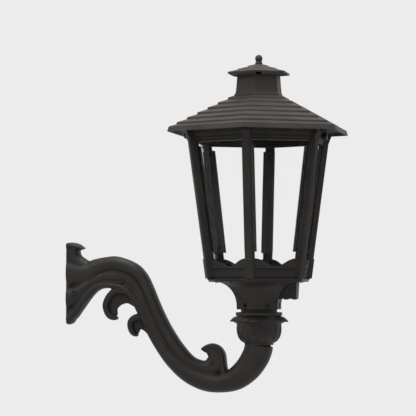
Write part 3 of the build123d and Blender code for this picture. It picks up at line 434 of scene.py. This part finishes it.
flats = np.radians(-60 + 60 * np.arange(6))
holes = [spoke(a, 30, 60, GRUB_Z, GRUB_R) for a in flats]
holes.append(spoke(math.radians(60), 34, 75, COCK_Z, COCK_R))
add_piece(drilled("trumpet_base", hex_ring(base_rows), holes), BRACKET, coat,
          replaces=("lamp_base",), bevel=0.7, sharp=38)
paint(blackened, "fitter_set_screws", "base_screws")

# ---- control box --------------------------------------------------------------------------
# Small cast box against the wall-side flank of the base, closed by a screwed cover. Its edges
# are eased by the powder. The ignition module inside is potted in black resin.


def softened(name, node, material, body=BRACKET, bevel=0.6):
    """Copy of a CAD node with its facets merged into whole faces and its edges rounded."""
    mesh = nodes[node].data.copy()
    mesh.name = name
    work = bmesh.new()
    work.from_mesh(mesh)
    bmesh.ops.remove_doubles(work, verts=work.verts, dist=0.01 * MM)
    bmesh.ops.dissolve_limit(work, angle_limit=math.radians(0.6), verts=work.verts, edges=work.edges)
    work.to_mesh(mesh)
    work.free()
    return add_piece(mesh, body, material, replaces=(node,), bevel=bevel, sharp=38)


softened("ignition_box", "control_box", coat, bevel=0.8)
softened("ignition_box_cover", "control_box_cover", coat, bevel=0.5)
paint(blackened, "control_box_screws")
resin = finish("black potting resin", "#101011", "#1A1A1C", 14, 2.0, 0.02, (0.3, 0.5))
paint(resin, "control_module")

# ---- gas cock and burner ------------------------------------------------------------------
# Turned brass cock with a lever knob behind the base, and a burner on the floor plate with a
# slotted ceramic tip. Ceramic is matt and slightly cream.
softened("cock_lever", "gas_cock_knob", brass, body="gas_cock_knob", bevel=0.4)
ceramic = finish("glazed steatite ceramic", "#D9D2C2", "#E8E3D8", 5, 0.8, 0.02, (0.45, 0.65))
paint(ceramic, "burner_tip")
sheet = finish("black painted sheet steel", "#171513", "#1F1C1A", 40, 1.2, 0.02, (0.4, 0.55))
paint(sheet, "floor_plate")

# ---- lower frame ring ---------------------------------------------------------------------
# Cast ring that carries the glass: a lip, a sunk panel with a bead round it, a groove, and a
# skirt whose top swings up in mounds at the posts and falls to a sharp valley mid-panel.
FOOT_Z, HEAD_Z = 14.9, 316.0
FOOT_R, HEAD_R = 115.6, 158.4
LEAN = (HEAD_R - FOOT_R) / (HEAD_Z - FOOT_Z)
VALLEY, MOUND, MOUND_RUN = 36.8, 53.2, 0.78


def post_r(z):
    """Corner radius of the outer face of the posts at height z."""
    return FOOT_R + LEAN * (z - FOOT_Z)


def mounds(t):
    """Height of the skirt above its valley: (53.2 - 36.8)(1 - cos(pi min(|t| / 0.78, 1))) / 2."""
    return (MOUND - VALLEY) * (1 - np.cos(np.pi * np.minimum(np.abs(t) / MOUND_RUN, 1))) / 2


def behind(z, offset):
    return (post_r(z) - offset, z)


skirt_rows = [
    (96, 8.3), (113.9, 8.3), (114.5, 8.9), (114.5, 11.2), (113.6, 11.8), (109.2, 12), (108.4, 12.6),
    (108.4, 14.8), behind(15.2, 4.6), behind(18.2, 4.6), behind(18.6, 6.0), behind(26.2, 6.0),
    behind(26.6, 4.6), behind(29.6, 4.6), behind(30.2, 7.4), behind(31.9, 7.4), behind(32.4, 4.5),
    (*behind(34.2, 4.5), 0.25), (*behind(35.4, 4.4), 0.9), (*behind(36.4, 5.0), 1), (*behind(36.8, 6.2), 1),
    (*behind(36.8, 8.8), 1), (*behind(30, 8.9), 0.3), behind(18.1, 9.0), (96, 18.1)]
skirt = hex_ring(skirt_rows, across=48, lift=mounds, lean=LEAN)
add_piece(as_mesh("scalloped_ring", *skirt), BRACKET, coat, replaces=("lower_frame_ring",), sharp=32)

# ---- corner posts -------------------------------------------------------------------------
# Six cast posts, each with a proud face, a shoulder each side, a shoe at its foot and a flared
# block at its head. They stand on the lower ring and lean out with the glass. Behind the corner
# of the glass a pad at each end keeps the strip's place.


def leaning_bar(sections):
    """Bar along a post for a corner on +X: each section is (height, outline), the outline in
    (radius in front of the post's face line, distance to the side)."""
    points = [[(post_r(z) + out, side, z) for out, side in outline] for z, outline in sections]
    points = [[p] * len(points[0]) for p in np.mean(points[:1], 1)] + points
    points += [[p] * len(points[0]) for p in np.mean(points[-1:], 1)]
    points = np.array(points, float)
    return points.reshape(-1, 3), grid_faces(len(points), points.shape[1])


def mirrored(half):
    return [(out, -side) for out, side in half] + [(out, side) for out, side in reversed(half)]


bar = mirrored([
    (-0.1, 5.9), (-0.7, 7.0), (-3.6, 7.4), (-4.0, 7.6), (-4.2, 9.3), (-4.7, 9.8), (-14.4, 9.8),
    (-9.3, 0.6)])
shoe = mirrored([(1.3, 7.6), (0.4, 8.9), (-9.0, 8.9), (-9.0, 0.6)])
shoe_low = mirrored([(1.0, 7.2), (0.1, 8.6), (-6.0, 8.6), (-6.0, 0.6)])
shoe_mid = mirrored([(1.3, 7.6), (0.4, 8.9), (-6.0, 8.9), (-6.0, 0.6)])
shoe_top = mirrored([(0.1, 6.9), (-0.6, 8.0), (-9.0, 8.0), (-9.0, 0.6)])
block_low = mirrored([(0.2, 7.4), (-0.6, 8.3), (-9.0, 8.3), (-9.0, 0.6)])
block_mid = mirrored([(1.4, 7.8), (0.4, 8.9), (-9.0, 8.9), (-9.0, 0.6)])
block_top = mirrored([(3.4, 7.8), (2.4, 8.9), (-9.0, 8.9), (-9.0, 0.6)])
pad = mirrored([(-9.0, 2.4), (-14.3, 2.4), (-17.0, 7.0), (-19.2, 7.0), (-15.6, 0.6)])
STRIP_LOW, STRIP_HIGH = (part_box("glass_retainer_1")[k][2] / MM for k in (0, 1))
post = joined([
    leaning_bar([(FOOT_Z + 0.2, bar), (HEAD_Z - 0.2, bar)]),
    leaning_bar([(18.2, pad), (STRIP_LOW - 0.1, pad)]),
    leaning_bar([(STRIP_HIGH + 0.1, pad), (294.9, pad)]),
    leaning_bar([(11.7, shoe_low), (12.6, shoe_mid), (17, shoe_mid), (17.5, shoe), (51.6, shoe),
                 (53.5, shoe_top)]),
    leaning_bar([(298.5, block_low), (305.5, block_mid), (311, block_top), (HEAD_Z - 0.1, block_top)])])


def at_corner(shell, degrees):
    """Turns a shell about Z and moves it to the lantern axis."""
    points, faces = shell
    c, s = math.cos(math.radians(degrees)), math.sin(math.radians(degrees))
    x, y, z = points.T
    return np.column_stack([AXIS_X + c * x - s * y, s * x + c * y, z]), faces


for k in range(6):
    add_piece(as_mesh(f"lantern_post_{k + 1}", *at_corner(post, -90 + 60 * k)), BRACKET, coat,
              replaces=(f"corner_post_{k + 1}",), bevel=0.35, sharp=30)

# ---- upper frame ring ---------------------------------------------------------------------
# Cast head ring: a flat band with two stepped mouldings below it, bored for the roof's lock.
head_rows = [
    behind(295, 17.5), behind(295, 7.6), behind(295.4, 7.1), behind(298.6, 7.0), behind(299.0, 8.4),
    behind(300.2, 8.4), behind(300.6, 5.9), behind(304.2, 5.8), behind(304.6, 7.6), behind(306.0, 7.6),
    behind(306.4, 4.6), behind(315.4, 4.5), behind(315.9, 5.0),
    behind(315.9, 17.5)]
LOCK_Z, LOCK_R = 309, 2.6
lock = spoke(0, 105, 150, LOCK_Z, LOCK_R)
add_piece(drilled("moulded_ring", hex_ring(head_rows), [lock]), BRACKET, coat,
          replaces=("upper_frame_ring",), bevel=0.35, sharp=30)

# ---- glass --------------------------------------------------------------------------------
# Six flat panes of clear float glass, 3 mm thick, held by bent steel strips screwed to the
# posts from inside. Clean float glass is colourless and reflects little from straight ahead; its
# index is set well below the real 1.5, so that the frame behind it stays dark.
glass = bpy.data.materials.new("clear float glass")
glass.use_nodes = True
tree = glass.node_tree
pane = tree.nodes["Principled BSDF"]
ripple = add(tree, "ShaderNodeTexNoise", {
    "Vector": add(tree, "ShaderNodeTexCoord").outputs["Object"], "Scale": 1 / (90 * MM), "Detail": 1.0})
wave = add(tree, "ShaderNodeBump", {"Height": ripple.outputs["Fac"], "Strength": 0.4, "Distance": 0.05 * MM})
tree.links.new(wave.outputs["Normal"], pane.inputs["Normal"])
pane.inputs["Base Color"].default_value = linear("#FFFFFF")
pane.inputs["Roughness"].default_value = 0.0
pane.inputs["IOR"].default_value = 1.1
pane.inputs["Transmission Weight"].default_value = 1.0
paint(glass, *[f"glass_pane_{k}" for k in range(1, 7)])
for k in range(6):
    softened(f"glass_strip_{k + 1}", f"glass_retainer_{k + 1}", sheet, bevel=0.3)
paint(blackened, "retainer_screws")

# ---- roof ---------------------------------------------------------------------------------
# One casting: a leaning fascia, seven overlapping courses and, inside, a seat that sits on the
# head ring. Its coat is the arm's black powder painted lighter: painted light from above.


def courses(outer, inner, first, pitch, count, riser):
    """Slope from (radius, height) outer to inner, broken by count risers: each is nearly upright
    for 0.7 of its height, and a narrow chamfer leads on to the next course."""
    (r0, z0), (r1, z1) = outer, inner
    fall = (z1 - z0 - count * riser) / (r0 - r1)
    points = [outer]
    for k in range(count):
        r = r0 - first - pitch * k
        z = z0 + (r0 - r) * fall + riser * k
        points += [(r + 0.1, z - 0.1), (r - 0.2, z + riser * 0.7), (r - 0.9, z + riser)]
    return points + [inner]


roof_rows = ([(202.4, 316.5), (203, 317.1)] + courses((199.3, 327.2), (55.6, 395.4), 17, 22.6, 6, 4)
             + [(41.6, 395.4), (41.6, 387.5), (51.1, 390.9), (194.8, 323.7), (198.5, 316.5)])
seat_rows = [(154, 316.4), (154, 347), (149.5, 349), (149.5, 316.4)]
# Painted light: the roof, flue, cap and ball nut get the arm's powder coat made lighter, standing in for the
# light falling on them from above.
roof_coat_painted_light = powder_coat("black powder coat painted lighter for top light", "#2A2522", "#352F2B", (0.5, 0.65))
shells = joined([hex_ring(roof_rows), hex_ring(seat_rows)])
add_piece(as_mesh("stepped_roof", *shells), "roof", roof_coat_painted_light, replaces=("roof",),
          bevel=0.4, sharp=25)

# ---- chimney and cap ----------------------------------------------------------------------
# Six-sided flue with flared foot, a strip across it for the stud, and a cap of three low
# courses with a drooping rim, held by a ball nut.
flue_rows = [
    (55.4, 395.6), (54.9, 397.2), (53.2, 399.4), (52, 402), (51.4, 404.5), (50.3, 415), (49.2, 428),
    (48.6, 437.6), (48.2, 438.4), (42.3, 438.4), (42.1, 437.6), (42.1, 395.6)]
add_piece(as_mesh("six_sided_flue", *hex_ring(flue_rows)), "roof", roof_coat_painted_light,
          replaces=("chimney",), bevel=0.4, sharp=35)
softened("flue_strip", "cap_bridge", sheet, body="roof", bevel=0.4)
paint(blackened, "cap_stud", "cap_spacer")
cap_rows = ([(69, 441.1), (69.5, 441.7)] + courses((69.5, 445), (6.1, 463.6), 22.2, 22.2, 2, 1.4)
            + [(3.1, 463.6), (3.1, 450.7), (9, 450.7), (9, 459.3), (66, 442.4), (66.4, 441.1)])
add_piece(as_mesh("stepped_cap", *hex_ring(cap_rows)), "roof", roof_coat_painted_light, replaces=("vent_cap",),
          bevel=0.3, sharp=25)
ball_turn = np.linspace(-0.42 * np.pi, np.pi / 2, 22)
finial_rows = [(0, 463.8), (7.6, 463.8), (7.8, 464.3), (7.6, 465.2), (7.2, 466), (7, 467.6), (7.1, 468.8)]
finial_rows += list(zip(7.8 * np.cos(ball_turn)[4:], 475.2 + 7.8 * np.sin(ball_turn)[4:]))
r, z = np.array(finial_rows).T[:, :, None]
spin = np.linspace(0, 2 * np.pi, 48, endpoint=False)
points = np.stack([AXIS_X + r * np.cos(spin), r * np.sin(spin), z + 0 * spin], -1)
add_piece(as_mesh("ball_nut", points.reshape(-1, 3), grid_faces(len(r), 48)), "roof", roof_coat_painted_light,
          replaces=("finial_nut",), sharp=50)

# ---- roof hinge and lock ------------------------------------------------------------------
# Black steel hinge on the wall side, and opposite it a slotted tab under the roof that a
# knurled thumb screw clamps to the head ring.
softened("hinge_bracket", "hinge_frame_leaf", sheet, bevel=0.3)
softened("hinge_leaf", "hinge_roof_leaf", sheet, body="roof", bevel=0.3)
softened("slotted_tab", "lock_tab", sheet, body="roof", bevel=0.3)
softened("thumb_screw", "roof_lock_screw", blackened, body="roof_lock_screw", bevel=0.2)
paint(blackened, "hinge_pin")


# ---- stage --------------------------------------------------------------------------------
# A pale floor well below the lamp, a pale surround that darkens below the horizon, and two soft
# lights, one above and one in front to the left.
floor_r, floor_z = 6.0, -1.5
bpy.ops.mesh.primitive_circle_add(
    vertices=96, radius=floor_r, fill_type="NGON", location=(AXIS_X * MM, 0, floor_z))
floor = bpy.context.object
floor.name = "studio floor"
floor.data.materials.append(finish("pale studio floor", "#DCDCDC", "#E4E4E4", 400, 20, 0.1, (0.7, 0.8)))
world = bpy.data.worlds.new("studio")
bpy.context.scene.world = world
world.use_nodes = True
sky = world.node_tree
way = add(sky, "ShaderNodeTexCoord").outputs["Generated"]
up = add(sky, "ShaderNodeSeparateXYZ", {"Vector": way}).outputs["Z"]
level = add(sky, "ShaderNodeMapRange", {"Value": up, "From Min": -1.0, "From Max": 1.0})
shade = add(sky, "ShaderNodeValToRGB", {"Fac": level.outputs["Result"]})
shade.color_ramp.elements.new(0.44)
for stop, at, colour in zip(shade.color_ramp.elements, (0.3, 0.44, 1.0), ("#303030", "#ECECEC", "#ECECEC")):
    stop.position, stop.color = at, linear(colour)
sky.links.new(shade.outputs["Color"], sky.nodes["Background"].inputs["Color"])
for name, power, size, place, aim in (
        ("key", 50, 1.6, (-0.9, -2.4, 2.6), (0.4, 0, 0.1)),
        ("top", 60, 1.5, (0.6, -0.2, 2.6), (0.4, 0, 0.2))):
    lamp = bpy.data.lights.new(name, "AREA")
    lamp.energy, lamp.size = power, size
    light = bpy.data.objects.new(name, lamp)
    bpy.context.scene.collection.objects.link(light)
    light.location = place
    light.rotation_euler = (Vector(aim) - Vector(place)).to_track_quat("-Z", "Y").to_euler()
camera = bpy.data.objects.new("camera", bpy.data.cameras.new("camera"))
bpy.context.scene.collection.objects.link(camera)
camera.location = (1.1656, -4.4377, 0.003)
camera.rotation_euler = (math.radians(92), 0, math.radians(11))
camera.data.lens, camera.data.sensor_width = 185.45, 36
bpy.context.scene.camera = camera
bpy.context.scene.view_settings.view_transform = "Standard"
